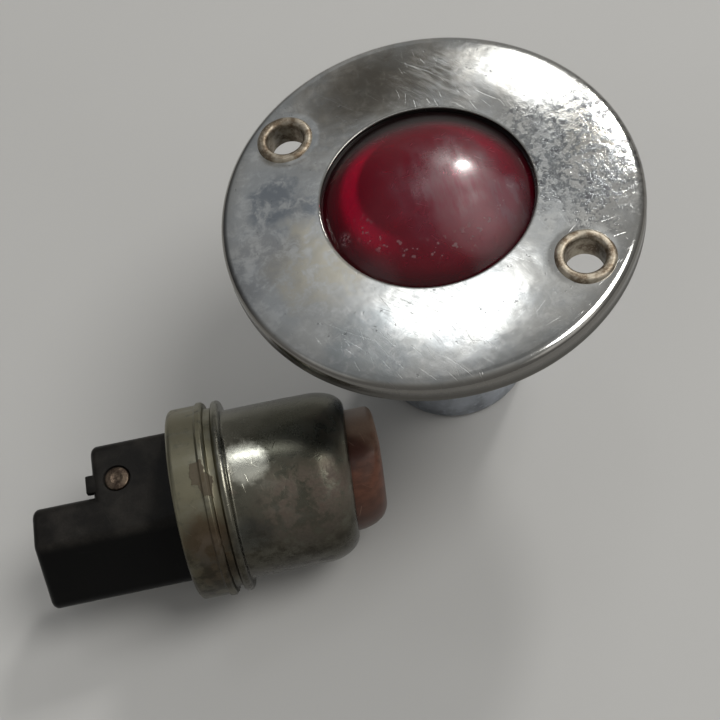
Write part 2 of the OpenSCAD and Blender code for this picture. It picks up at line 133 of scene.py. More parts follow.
def colour(name, description, default):
    return FloatVectorProperty(name=name, description=description, default=default,
                               size=3, min=0.0, max=1.0, subtype="COLOR")


def amount(name, description, default):
    return FloatProperty(name=name, description=description, default=default, min=0.0)


class LampSizes(bpy.types.PropertyGroup):
    """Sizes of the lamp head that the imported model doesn't state."""

    rim_top: length("Rim top", "Height of the shoulder above the panel", 3.2)
    sheet: length("Bezel sheet", "Thickness of the bezel's sheet", 0.8)
    shoulder: length("Shoulder", "Radius between the face and the rim", 1.3)
    opening: length("Opening", "Radius of the lens opening", 13.9)
    seat: length("Eyelet seat", "Radius of the flat pressed round an eyelet", 4.0)
    eyelet_bore: length("Eyelet bore", "Radius of an eyelet's bore", 2.45)
    eyelet_wall: length("Eyelet wall", "Wall of an eyelet's barrel", 0.5)
    lens_wall: length("Lens wall", "Thickness of the lens", 2.2)
    lens_edge: length("Lens edge", "Radius of the lens where it leaves the bezel", 13.7)
    tin: length("Housing sheet", "Sheet thickness of the housing and tail", 0.8)


class HolderSizes(bpy.types.PropertyGroup):
    """Sizes of the loose bulb holder, measured from its axis and from its collar's end."""

    can: length("Can", "Radius of the drawn can", 12.2)
    collar: length("Collar", "Radius of the crimped collar", 13.7)
    collar_width: length("Collar width", "Width of the crimped collar", 5.2)
    shell_sheet: length("Shell sheet", "Sheet thickness of the shell", 0.8)
    shell_length: length("Shell length", "Length of the shell", 24.5)
    shoulder: length("Can shoulder", "Length of the can's rounded shoulder", 5.0)
    socket: length("Socket", "Radius of the brown socket", 8.7)
    socket_end: length("Socket end", "Place of the socket's mouth on the axis", 28.7)
    wall: length("Shroud wall", "Wall of the plug shrouds", 1.3)
    shroud_round: length("Shroud corners", "Radius on the shrouds' long edges", 1.6)
    long_shroud: length("Long shroud", "Length of the long plug shroud", 21.0)
    short_shroud: length("Short shroud", "Length of the short plug shroud", 12.5)


class Finishes(bpy.types.PropertyGroup):
    """Base colours of the finishes."""

    chrome: colour("Chrome", "Plating of the bezel", (0.78, 0.78, 0.75))
    brass: colour("Brass", "Worn plating of the eyelets", (0.43, 0.385, 0.31))
    lens: colour("Lens", "Red of the lens", (0.42, 0.001, 0.032))
    zinc: colour("Zinc", "Dull plating of the shell's collar", (0.235, 0.22, 0.155))
    can: colour("Can", "Darker plating of the drawn can", (0.175, 0.170, 0.138))
    tail: colour("Tail", "Plating of the housing and tail", (0.40, 0.43, 0.48))
    rust: colour("Rust", "Stains on the shell", (0.075, 0.043, 0.030))
    black: colour("Black", "Moulding of the terminal block", (0.002, 0.002, 0.002))
    brown: colour("Brown", "Moulding of the bulb socket", (0.165, 0.066, 0.040))
    floor: colour("Floor", "Pale floor", (0.50, 0.50, 0.49))


class StudioSettings(bpy.types.PropertyGroup):
    """Where the light comes from and how strong it is."""

    key: amount("Key", "Share of full daylight that the key lamp gives", 0.42)
    back: amount("Back", "Share that the small back lamp gives", 0.15)
    low_glow: amount("Low glow", "Brightness of the glow low behind", 2.8)
    high_glow: amount("High glow", "Brightness of the glow high behind", 3.0)
    fill: amount("Fill", "Brightness of the room round the object", 0.28)
    distance: length("Lamp distance", "Distance of the lamps from the object", 1200, 5000)


def in_mm(group):
    """The lengths of a property group, in millimetres."""
    return SimpleNamespace(**{key: getattr(group, key) / MM for key in group.__annotations__})


# Shaders


class Signal:
    """A socket of a finish. Sums, differences and products of signals add Math nodes."""

    def __init__(self, finish, socket):
        self.finish = finish
        self.socket = socket

    def __add__(self, other):
        return self.finish.maths("ADD", self, other)

    __radd__ = __add__

    def __sub__(self, other):
        return self.finish.maths("SUBTRACT", self, other)

    def __rsub__(self, other):
        return self.finish.maths("SUBTRACT", other, self)

    def __mul__(self, other):
        return self.finish.maths("MULTIPLY", self, other)

    __rmul__ = __mul__

    def __abs__(self):
        return self.finish.maths("ABSOLUTE", self)

    def other(self, out):
        """Another output of the node that this signal comes from."""
        return Signal(self.finish, self.socket.node.outputs[out])

    def rise(self, low, high):
        """0 below low and 1 above high, with a soft step between them."""
        return self.finish.node("MapRange", {"interpolation_type": "SMOOTHSTEP"},
                                {"Value": self, "From Min": low, "From Max": high})


class Finish:
    """One procedural material, or the room's light. Its lengths are millimetres in the piece's own frame."""

    def __init__(self, name, group=bpy.data.materials):
        self.data = group.new(name)
        self.data.use_nodes = True
        self.tree = self.data.node_tree
        self.tree.nodes.clear()

    def node(self, kind, settings=None, inputs=None, out=0):
        """Adds a node: its settings first, then the values or links of its sockets."""
        made = self.tree.nodes.new("ShaderNode" + kind)
        for key, value in (settings or {}).items():
            setattr(made, key, value)
        for key, value in (inputs or {}).items():
            if isinstance(value, Signal):
                self.tree.links.new(value.socket, made.inputs[key])
            else:
                made.inputs[key].default_value = value
        return Signal(self, made.outputs[out]) if made.outputs else None

    def maths(self, operation, *values):
        return self.node("Math", {"operation": operation}, dict(enumerate(values)))

    def vector(self, operation, *values, out=0, **named):
        inputs = dict(enumerate(values))
        inputs.update(named)
        return self.node("VectorMath", {"operation": operation}, inputs, out)

    def place(self):
        """Where a point is on the piece, in millimetres."""
        here = self.node("TexCoord", out="Object")
        return self.vector("SCALE", here, Scale=1 / MM)

    def along(self, place, direction):
        """How far a place lies in a direction."""
        return self.vector("DOT_PRODUCT", place, direction, out="Value")

    def part(self, place, axis):
        return self.node("SeparateXYZ", None, {"Vector": place}, axis)

    def stretched(self, place, factors):
        return self.vector("MULTIPLY", place, factors)

    def turned(self, place, angle):
        return self.node("VectorRotate", {"rotation_type": "Z_AXIS"},
                         {"Vector": place, "Angle": angle})

    def noise(self, place, size, detail=3.0, rough=0.55):
        """Cloudy noise from 0 to 1 with lumps of about that size."""
        return self.node("TexNoise", None,
                         {"Vector": place, "Scale": 1 / size, "Detail": detail, "Roughness": rough})

    def warped(self, place, size, reach, detail=3.0):
        """The place pushed about by cloudy noise, by up to about half of reach."""
        push = self.node("TexNoise", None,
                         {"Vector": place, "Scale": 1 / size, "Detail": detail}, "Color")
        push = self.vector("SCALE", self.vector("SUBTRACT", push, (0.5, 0.5, 0.5)), Scale=reach)
        return self.vector("ADD", place, push)

    def mix(self, factor, low, high):
        """The colour low where factor is 0 and high where it is 1."""
        low, high = [c if isinstance(c, Signal) else (*c, 1.0) for c in (low, high)]
        return self.node("Mix", {"data_type": "RGBA"}, {0: factor, 6: low, 7: high}, out=2)

    def layers(self, tint, *stains):
        """A colour with stains over it, each given as the share that it covers and its own colour."""
        for share, stain in stains:
            tint = self.mix(share, tint, stain)
        return tint

    def near(self, place, centre, reach, ragged=None):
        """1 round centre, falling softly to 0 at reach, with an edge made ragged by a signal."""
        away = self.vector("DISTANCE", place, centre, out="Value")
        if ragged is not None:
            away = away + (ragged - 0.5) * reach
        return 1 - away.rise(reach * 0.45, reach)

    def strokes(self, place, spacing, width, share, middle=(0.5, 0.5, 0.5)):
        """Straight scratches, one to a cell. A middle off centre makes most of them lean one way."""
        away = self.node("TexVoronoi", None, {"Vector": place, "Scale": 1 / spacing})
        chance = away.other("Color")
        local = self.vector("SUBTRACT", place, away.other("Position"))
        across = self.vector("NORMALIZE", self.vector("SUBTRACT", chance, middle))
        off = abs(self.along(local, across))
        pick = self.along(chance, (7.3, 3.1, 5.9))
        pick = self.maths("FRACT", pick)
        line = 1 - off.rise(width * 0.4, width)
        return line * (1 - away.rise(0.28, 0.52)) * pick.rise(1 - share, 1.02 - share * 0.7)

    def crossed(self, place, spacing, angle, finer):
        """Scratches of one spacing and finer ones turned by an angle."""
        return (self.strokes(place, spacing, 0.05, 0.8)
                + self.strokes(self.turned(place, angle), finer, 0.04, 0.6))

    def bump(self, height, depth, strength=1.0, under=None):
        """A normal for heights from 0 to 1 that stand for that depth."""
        inputs = {"Strength": strength, "Distance": depth * MM, "Height": height}
        if under is not None:
            inputs["Normal"] = under
        return self.node("Bump", None, inputs)

    def surface(self, **sockets):
        """Ends the material with the main shader. Underscores in names stand for spaces."""
        inputs = {key.replace("_", " "): value for key, value in sockets.items()}
        shader = self.node("BsdfPrincipled", None, inputs)
        self.node("OutputMaterial", None, {"Surface": shader})
        return self.data


def scaled(tint, factor):
    return tuple(min(1.0, c * factor) for c in tint)


def worn_chrome(finishes):
    """Old plating: bright, scratched and smudged all over, mottled and pitted on the right, with tinted
    patches of painted reflection and painted shade on its edges and rim wall.
    """
    f = Finish("worn_chrome")
    at = f.place()
    out = f.vector("LENGTH", f.stretched(at, (1.0, 1.0, 0.0)), out="Value")
    cloud = f.noise(at, 5.0, 4.0)
    grain = f.noise(at, 0.5, 4.0, 0.6)
    mottle = f.noise(f.warped(at, 0.8, 1.0, 2.0), 1.0, 5.0, 0.62)
    smudge = f.noise(f.warped(at, 2.2, 2.4), 2.0, 6.0, 0.68)
    broken = smudge.rise(0.40, 0.58)
    bent = f.warped(at, 8.3, 2.4, 1.0)
    ragged = f.warped(at, 4.5, 14.0, 4.0)
    face = 3.4

    def region(x, y, reach):
        return f.near(at, (x, y, face), reach, cloud)

    falling, rising = (-0.60, -0.18, 0.5), (1.06, -0.67, 0.5)
    fine = f.strokes(bent, 3.4, 0.034, 0.9, falling)
    fine = fine + f.strokes(f.turned(bent, 0.3), 2.0, 0.028, 0.8, falling)
    long_lines = f.strokes(f.turned(bent, -0.3), 9.0, 0.042, 0.85, falling)
    swiped = f.strokes(bent, 2.6, 0.032, 0.9, rising) * region(13.0, -15.0, 12.0)
    scratched = region(7.0, 17.0, 9.0) + region(-6.0, -19.0, 14.0)
    clouded = region(20.5, -1.0, 14.0)
    brushed = f.noise(f.stretched(f.turned(bent, 0.9), (0.22, 2.6, 1.0)), 1.0, 4.0, 0.6)
    swept = brushed.rise(0.42, 0.60)
    pits = mottle.rise(0.57, 0.61) * clouded * 0.9 + f.noise(at, 0.8, 3.0, 0.6).rise(0.67, 0.72) * 0.5
    scratch = fine * (0.35 + scratched * 0.7) + long_lines * (0.4 + scratched * 0.5) + swiped
    # The darker rim wall is painted shade.
    wall = 1 - f.part(at, "Z").rise(0.9, 2.4)
    # The darker outer shoulder, outer edge and lip round the opening are painted shade and painted dark
    # reflection.
    edges = out.rise(24.3, 26.5) * 0.25 + out.rise(26.5, 27.2) * 0.65 + (1 - out.rise(14.0, 14.4)) * 0.9
    tint = f.mix(cloud.rise(0.35, 0.65), finishes.chrome, (0.68, 0.70, 0.70))
    # These tinted patches are painted reflections of the surroundings: cream, blue-grey, brownish and grey.
    for x, y, reach, share, stain in (
            (-16.5, -5.0, 7.5, 0.85, (0.90, 0.84, 0.69)), (-18.5, 4.5, 5.5, 0.80, (0.30, 0.34, 0.39)),
            (-13.0, -20.0, 8.0, 0.45, (0.42, 0.47, 0.48)), (-2.0, 20.0, 7.0, 0.45, (0.40, 0.36, 0.30)),
            (-23.5, -3.0, 7.0, 0.55, (0.44, 0.45, 0.47)), (23.5, 3.0, 6.0, 0.65, (0.50, 0.47, 0.39))):
        tint = f.mix(f.near(ragged, (x, y, face), reach) * (0.25 + broken * 0.75) * share, tint, stain)
    tint = f.layers(
        tint,
        ((1 - smudge.rise(0.34, 0.50)) * 0.40, (0.97, 0.97, 0.94)),
        (broken * 0.16 + swept * scratched * 0.14, (0.30, 0.30, 0.29)),
        (clouded * mottle.rise(0.46, 0.54) * 0.9, (0.19, 0.205, 0.215)),
        (pits, (0.06, 0.06, 0.065)),
        (edges, (0.20, 0.19, 0.175)),
        (wall * (0.80 + cloud * 0.2), (0.13, 0.125, 0.115)))
    rough = (0.07 + broken * 0.045 + cloud.rise(0.50, 0.75) * 0.03 + scratch * 0.17 + pits * 0.12
             + wall * 0.25 + scratched * (0.02 + swept * 0.07 + grain * 0.03)
             + clouded * mottle.rise(0.42, 0.55) * 0.05)
    wave = f.bump(f.noise(at, 14.0, 1.0), 0.09)
    dents = f.bump(f.noise(at, 4.0, 2.0), 0.03, 1.0, wave)
    marks = mottle * clouded * 7.5 + smudge * 1.2 + grain * clouded - pits * 2.0 - scratch * 0.7
    height = f.bump(marks, 0.004, 0.9, dents)
    return f.surface(Base_Color=tint, Metallic=1.0, Roughness=rough, Normal=height)


def worn_brass(name, tint, dark):
    """Brass whose plating is nearly gone, dark in its hollows."""
    f = Finish(name)
    at = f.place()
    cloud = f.noise(at, 1.4, 4.0, 0.6)
    grain = f.noise(at, 0.25, 3.0, 0.65)
    lines = f.strokes(at, 1.5, 0.04, 0.8)
    shade = f.layers(tint, (cloud.rise(0.36, 0.62), dark),
                     (grain.rise(0.52, 0.66) * 0.45, scaled(tint, 1.35)))
    rough = 0.34 + cloud * 0.18 + lines * 0.12 + grain * 0.10
    height = f.bump(grain * 0.8 + cloud * 2.5 - lines, 0.008, 0.9)
    return f.surface(Base_Color=shade, Metallic=1.0, Roughness=rough, Normal=height)


def red_glass(finishes):
    """Deep red glass: hazy from wear over its middle, with painted sheen, glow and reflection on it, and
    painted shade where it runs under the bezel.
    """
    f = Finish("red_glass")
    at = f.place()
    cloud = f.noise(at, 3.5, 4.0)
    grain = f.noise(at, 0.4, 3.0, 0.6)
    lines = f.crossed(at, 2.4, 1.2, 1.4)
    flat = f.stretched(at, (1.0, 1.0, 0.0))
    out = f.vector("LENGTH", flat, out="Value")
    far = f.vector("DISTANCE", flat, (-1.5, -7.0, 0.0), out="Value")
    glint = (5.1, -0.2, 7.4)
    clean = 1 - f.near(at, glint, 3.6)
    streaks = f.noise(f.stretched(at, (1.0, 0.22, 0.6)), 0.9, 4.0, 0.6)
    wiped = streaks.rise(0.35, 0.65)
    # Wear haze and film over the middle; their pinkish tints also paint sheen and the glow round the
    # highlight.
    haze_and_sheen = f.near(at, (3.5, -3.0, 6.8), 10.5, cloud)
    film_and_halo = f.near(at, (2.5, -0.5, 7.7), 7.8, cloud)
    ring = out.rise(8.2, 9.2) * (1 - out.rise(10.2, 11.6))
    # A brighter red ring on the left and upper right: painted glow.
    painted_glow_ring = ring * (f.near(flat, (-10.5, 1.5, 0.0), 12.5) + f.near(flat, (8.0, 7.0, 0.0), 8.0) * 0.5)
    low = 1 - f.along(at, (0.0, 1.0, 0.0)).rise(-3.5, -1.0)
    chips = f.noise(at, 0.65, 1.0, 0.4).rise(0.63, 0.70) * ring * low * 0.7
    chips = chips + f.near(at, (-11.6, -3.4, 4.0), 1.3, grain) * grain.rise(0.45, 0.6)
    # A pinkish-grey smear low on the right, whose tint also paints a lamp's reflection.
    smear_and_reflection = f.near(at, (9.3, -5.6, 4.6), 4.2, cloud) * (0.3 + streaks.rise(0.42, 0.60) * 0.5)
    dull = f.near(at, (5.4, -6.8, 6.2), 8.0)
    # A near-black crescent at the far side: painted shade where the lens runs under the bezel.
    painted_shade_crescent = far.rise(14.6, 18.4)
    tint = f.layers(
        finishes.lens,
        (painted_glow_ring, (1.0, 0.002, 0.08)),
        (haze_and_sheen * (0.25 + grain * 0.25), (0.46, 0.09, 0.16)),
        (film_and_halo * (0.03 + wiped * 0.30), (0.50, 0.27, 0.33)),
        (smear_and_reflection, (0.44, 0.24, 0.30)),
        # The next two layers are painted shade towards the edge and at the far side.
        (out.rise(10.8, 13.5) * 0.8, (0.08, 0.0, 0.008)),
        (painted_shade_crescent * 0.97, (0.014, 0.0, 0.001)),
        (chips, (0.75, 0.50, 0.54)))
    veil = haze_and_sheen * 0.12 + film_and_halo * (0.10 + wiped * 0.35) + f.near(at, glint, 6.0) * (0.40 + streaks * 0.7)
    rough = (0.10 + clean * (haze_and_sheen * (0.04 + grain * 0.08) + film_and_halo * (0.05 + streaks * 0.10))
             + lines * 0.16 + chips * 0.3 + smear_and_reflection * 0.2 + dull * 0.36 + painted_shade_crescent * 0.25)
    height = f.bump(cloud * 1.5 + grain * 0.3 + chips * 4.0 - lines, 0.004, 0.7)
    return f.surface(Base_Color=tint, Roughness=rough, Normal=height, IOR=1.5, Transmission_Weight=0.80,
                     Specular_IOR_Level=0.26, Coat_Weight=veil, Coat_Roughness=0.27, Coat_IOR=1.5)


def plated_tin(name, tint, rough_low):
    """Zinc-plated sheet with soft blotches and rubbed marks."""
    f = Finish(name)
    at = f.place()
    cloud = f.noise(at, 4.5, 4.0)
    spangle = f.noise(at, 1.2, 2.0)
    grain = f.noise(at, 0.25, 3.0, 0.65)
    lines = f.strokes(at, 4.0, 0.06, 0.8)
    shade = f.layers(scaled(tint, 1.15), (cloud.rise(0.35, 0.68), scaled(tint, 0.62)),
                     (spangle.rise(0.50, 0.68) * 0.5, scaled(tint, 1.4)))
    rough = rough_low + cloud * 0.18 + grain * 0.08 + lines * 0.12
    height = f.bump(grain * 0.8 + spangle * 1.2 - lines, 0.006, 0.8)
    return f.surface(Base_Color=shade, Metallic=1.0, Roughness=rough, Normal=height)


def stained_zinc(finishes):
    """The shell's plating: tan-grey on the collar, darker on the can, stained brown and rusty, with a
    painted highlight and a painted shadow on the can and painted shade on its lower front.
    """
    f = Finish("stained_zinc")
    at = f.place()
    cloud = f.noise(at, 5.0, 4.0)
    blotch = f.noise(at, 1.8, 5.0, 0.65)
    grain = f.noise(at, 0.3, 3.0, 0.65)
    wipe = f.noise(f.stretched(at, (1.0, 1.0, 0.5)), 3.0, 3.0)
    lines = f.crossed(at, 3.0, 1.0, 1.6)
    can = f.part(at, "Z").rise(5.9, 7.2)
    # A bright bare patch on the can's top, whose tint also paints the lamp's highlight there.
    bare_spot_and_highlight = f.near(at, (-0.8, 12.2, 10.4), 3.8, blotch)
    spots = [f.near(at, centre, reach, blotch) * share for centre, reach, share in (
        ((-8.0, 9.0, 17.0), 9.0, 1.1), ((-10.8, 8.4, 3.6), 4.2, 0.9),
        ((-4.0, 8.8, 23.3), 5.5, 0.7), ((2.5, 10.5, 22.0), 4.5, 0.5))]
    rusty = sum(spots[1:], spots[0]) * blotch.rise(0.36, 0.60) + blotch.rise(0.62, 0.72) * 0.35
    browned = f.near(at, (-9.4, 9.6, 3.6), 4.4, blotch) + f.near(at, (-12.6, 4.4, 4.4), 4.0, blotch)
    # Darker on the lower front side, facing away from the light: painted shade.
    low = f.along(at, (-0.95, -0.3, 0.0)).rise(0.5, 11.5)
    flake = 0
    for centre, size in (((-1.75, 13.25, 3.85), (1.5, 2.0, 0.95)),
                         ((-3.45, 12.95, 4.75), (1.5, 2.0, 0.85))):
        off = f.vector("ABSOLUTE", f.vector("SUBTRACT", f.warped(at, 1.5, 1.5, 5.0), centre))
        shares = f.part(f.vector("DIVIDE", off, size), "X")
        side = f.maths("MAXIMUM", shares, shares.other("Z"))
        flake = flake + (1 - side.rise(0.85, 1.1))
    tint = f.layers(
        finishes.zinc,
        (can, finishes.can),
        (wipe.rise(0.46, 0.72) * 0.30, (0.36, 0.37, 0.33)),
        (blotch.rise(0.50, 0.70) * 0.5, (0.10, 0.10, 0.085)),
        (f.near(at, (-9.6, 7.4, 9.4), 4.0, cloud) * 0.6, (0.10, 0.11, 0.11)),
        # A dark olive patch on the can's upper side: painted shadow of the lamp head.
        (f.near(at, (3.5, 10.5, 19.0), 11.5, cloud) * 0.7, (0.08, 0.08, 0.06)),
        (bare_spot_and_highlight, (0.85, 0.85, 0.74)),
        (rusty * 0.62, f.mix(grain.rise(0.35, 0.65), finishes.rust, (0.115, 0.073, 0.052))),
        (browned * (1 - can) * 0.75, (0.125, 0.082, 0.050)),
        (low * (0.66 + blotch.rise(0.40, 0.60) * 0.30), (0.034, 0.029, 0.020)),
        (flake.rise(0.1, 0.8), f.mix(grain, (0.055, 0.045, 0.028), (0.10, 0.08, 0.05))))
    bare = 1 - (rusty * 0.7 + flake * 0.8)
    rough = (0.28 - can * 0.12 - bare_spot_and_highlight * 0.04 + cloud * 0.14 + grain * 0.08 + rusty * 0.25 + flake * 0.3
             + lines * 0.12)
    height = f.bump(grain * 0.9 + blotch * 2.0 + rusty * 2.0 + flake * 3.0 - lines, 0.008, 0.9)
    return f.surface(Base_Color=tint, Metallic=bare.rise(0.0, 0.9), Roughness=rough, Normal=height)


def moulding(name, tint, wear_and_sheen, rough_low):
    """Glossy old moulding with fine scratches, and with dust on its top that also paints the top's sheen."""
    f = Finish(name)
    at = f.place()
    cloud = f.noise(at, 4.0, 4.0)
    grain = f.noise(at, 0.3, 3.0, 0.6)
    lines = f.crossed(at, 2.6, 1.0, 1.4)
    top = f.part(at, "Y").rise(1.5, 2.6)
    # Dust on the top, whose tint also paints the top's sheen.
    dust_and_sheen = (0.25 + cloud.rise(0.35, 0.72) * 0.5) * (0.5 + grain) * (0.03 + top * 0.97)
    shade = f.layers(tint, (dust_and_sheen * 0.6, wear_and_sheen), (lines * (0.03 + top * 0.12), wear_and_sheen))
    rough = rough_low + cloud * 0.14 + dust_and_sheen * 0.10 + grain * 0.05 + lines * 0.08
    height = f.bump(grain * 0.6 + cloud * 5.0 - lines, 0.006, 0.8)
    return f.surface(Base_Color=shade, Roughness=rough, Normal=height, Specular_IOR_Level=0.13)


def socket_moulding(finishes):
    """Brown moulding, paler tan on top and darker low down, where the darkening is painted shade."""
    f = Finish("socket_moulding")
    at = f.place()
    cloud = f.noise(at, 3.0, 4.0)
    grain = f.noise(at, 0.35, 3.0, 0.6)
    swirl = f.noise(f.stretched(at, (1.0, 1.0, 0.4)), 1.2, 4.0, 0.6)
    lines = f.strokes(at, 2.2, 0.05, 0.7)
    # Paler tan on top.
    pale_top = f.near(at, (5.5, 7.0, 27.0), 8.0, cloud)
    shade = f.layers(
        finishes.brown,
        (swirl.rise(0.36, 0.64), scaled(finishes.brown, 0.62)),
        (pale_top * (0.60 + grain * 0.4), (0.34, 0.235, 0.17)),
        (f.near(at, (-1.0, 8.6, 24.6), 3.4, cloud) * 0.8, (0.06, 0.022, 0.016)),
        # Darker on the lower front side: painted shade.
        (f.along(at, (-0.8, -0.6, 0.0)).rise(-2.0, 6.0) * 0.8, (0.040, 0.018, 0.012)),
        (lines * 0.3, (0.45, 0.28, 0.2)))
    rough = 0.22 + cloud * 0.14 + grain * 0.06 + lines * 0.1
    height = f.bump(grain * 0.7 + cloud * 4.0 - lines, 0.006, 0.8)
    return f.surface(Base_Color=shade, Roughness=rough, Normal=height, Specular_IOR_Level=0.3)


def rubber():
    f = Finish("rubber")
    at = f.place()
    grain = f.noise(at, 0.3, 4.0, 0.6)
    shade = f.mix(f.noise(at, 3.0, 3.0).rise(0.4, 0.7), (0.018, 0.018, 0.018), (0.045, 0.043, 0.040))
    return f.surface(Base_Color=shade, Roughness=0.62 + grain * 0.2, Normal=f.bump(grain, 0.01))


def pressed_fibre():
    f = Finish("pressed_fibre")
    fibres = f.noise(f.stretched(f.place(), (0.6, 3.0, 3.0)), 1.0, 4.0, 0.6)
    shade = f.mix(fibres.rise(0.35, 0.65), (0.23, 0.11, 0.05), (0.36, 0.20, 0.10))
    return f.surface(Base_Color=shade, Roughness=0.6 + fibres * 0.2, Normal=f.bump(fibres, 0.012))


def clear_glass():
    f = Finish("clear_glass")
    smudge = f.noise(f.place(), 2.0, 3.0).rise(0.5, 0.8)
    shade = f.mix(smudge, (0.95, 0.96, 0.96), (0.82, 0.84, 0.84))
    return f.surface(Base_Color=shade, Roughness=0.02 + smudge * 0.12, IOR=1.5, Transmission_Weight=1.0)


def pale_floor(finishes):
    f = Finish("pale_floor")
    cloud = f.noise(f.place(), 60.0, 3.0)
    shade = f.mix(cloud, scaled(finishes.floor, 0.97), scaled(finishes.floor, 1.03))
    return f.surface(Base_Color=shade, Roughness=0.9)


# Meshes


def rounded_path(corners, closed, steps):
    """Points along a path of (radius, place, fillet) corners, with an arc at each fillet."""
    points = []
    last = len(corners) - 1
    for i, (radius, place, fillet) in enumerate(corners):
        here = Vector((radius, place))
        before = (Vector(corners[i - 1][:2]) - here).normalized()
        after = (Vector(corners[(i + 1) % len(corners)][:2]) - here).normalized()
        half = before.angle(after, 0) / 2
        if not fillet or (not closed and i in (0, last)) or half > math.radians(88):
            points.append(here)
            continue
        middle = here + (before + after).normalized() * fillet / math.sin(half)
        arms = [(here + arm * fillet / math.tan(half) - middle).normalized() for arm in (before, after)]
        points += [middle + arms[0].slerp(arms[1], k / steps) * fillet for k in range(steps + 1)]
    return points


def turned_skin(build, outline, segments, closed=True):
    """Adds a surface of revolution about Z. A point on the axis becomes a pole."""
    rings = []
    for radius, place in outline:
        count = segments if radius else 1
        rings.append([build.verts.new((radius * math.cos(a), radius * math.sin(a), place))
                      for a in (2 * math.pi * k / segments for k in range(count))])
    pairs = list(zip(rings, rings[1:]))
    if closed:
        pairs.append((rings[-1], rings[0]))
    for a, b in pairs:
        for k in range(segments):
            corners = [a[k % len(a)], a[(k + 1) % len(a)], b[(k + 1) % len(b)], b[k % len(b)]]
            corners = list(dict.fromkeys(corners))
            if len(corners) > 2:
                build.faces.new(corners)


def lathe(corners, segments=160, closed=True, steps=6):
    build = bmesh.new()
    turned_skin(build, rounded_path(corners, closed, steps), segments, closed)
    return build


def tube(loops):
    """A closed mesh through loops of points, with a face at each end."""
    build = bmesh.new()
    rings = [[build.verts.new(point) for point in loop] for loop in loops]
    count = len(rings[0])
    for a, b in zip(rings, rings[1:]):
        for k in range(count):
            build.faces.new((a[k], a[(k + 1) % count], b[(k + 1) % count], b[k]))
    build.faces.new(rings[0])
    build.faces.new(rings[-1])
    return build


def new_object(name, build):
    """An object of a mesh that is being built."""
    bmesh.ops.recalc_face_normals(build, faces=build.faces)
    bmesh.ops.scale(build, vec=(MM, MM, MM), verts=build.verts)
    mesh = bpy.data.meshes.new(name)
    build.to_mesh(mesh)
    build.free()
    made = bpy.data.objects.new(name, mesh)
    bpy.context.scene.collection.objects.link(made)
    return made


def combine(made, other, operation):
    """Joins a mesh to an object's, or cuts it away, and leaves no modifier behind."""
    tool = new_object("tool", other)
    boolean = made.modifiers.new("combine", "BOOLEAN")
    boolean.operation = operation
    boolean.solver = "EXACT"
    boolean.object = tool
    bpy.context.view_layer.update()
    made.data = bpy.data.meshes.new_from_object(
        made.evaluated_get(bpy.context.evaluated_depsgraph_get()))
    made.modifiers.clear()
    mesh = tool.data
    bpy.data.objects.remove(tool)
    bpy.data.meshes.remove(mesh)


def merge_slivers(mesh):
    """Merges the thinnest faces that joining leaves at the seams."""
    build = bmesh.new()
    build.from_mesh(mesh)
    bmesh.ops.remove_doubles(build, verts=build.verts, dist=0.002 * MM)
    bmesh.ops.dissolve_degenerate(build, edges=build.edges, dist=0.001 * MM)
    bmesh.ops.recalc_face_normals(build, faces=build.faces)
    build.to_mesh(mesh)
    build.free()


def piece(name, build, material, body, replaces, added=(), cutters=()):
    """Makes an object in its body's frame with its material, has it ride that body and hides the nodes it
    replaces.
    """
    made = new_object(name, build)
    for other in added:
        combine(made, other, "UNION")
    for other in cutters:
        combine(made, other, "DIFFERENCE")
    if added:
        merge_slivers(made.data)
    made.data.name = name
    made.data.shade_smooth()
    made.data.set_sharp_from_angle(angle=SHARP_ANGLE)
    made.data.materials.append(material)
    made.matrix_world = FRAMES[body]
    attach(made, body)
    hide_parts(*replaces)
    return made


def sway(co, size, seed):
    """Smooth noise from -1 to 1 for a point, the same in every run."""
    return noise.noise(co / size + Vector((seed, seed * 1.7, seed * 0.3)))


def off_axis(place):
    """How a place lies off the Z axis."""
    return Vector((place.x, place.y, 0))


def soft_step(x):
    x = min(1.0, max(0.0, x))
    return x * x * (3 - 2 * x)


def eyelet_centres():
    return [off_axis(middle_of(node)) for node in ("eyelet_left", "eyelet_right")]


def eyelet_cutters(sizes):
    """Upright cylinders that cut the eyelets' holes."""
    radius = sizes.eyelet_bore + sizes.eyelet_wall + 0.05
    low, high = -1, 6
    cutters = []
    for centre in eyelet_centres():
        build = bmesh.new()
        turned_skin(build, [(0, low), (radius, low), (radius, high), (0, high)], 64, closed=False)
        bmesh.ops.translate(build, verts=build.verts, vec=centre)
        cutters.append(build)
    return cutters


# Lamp head


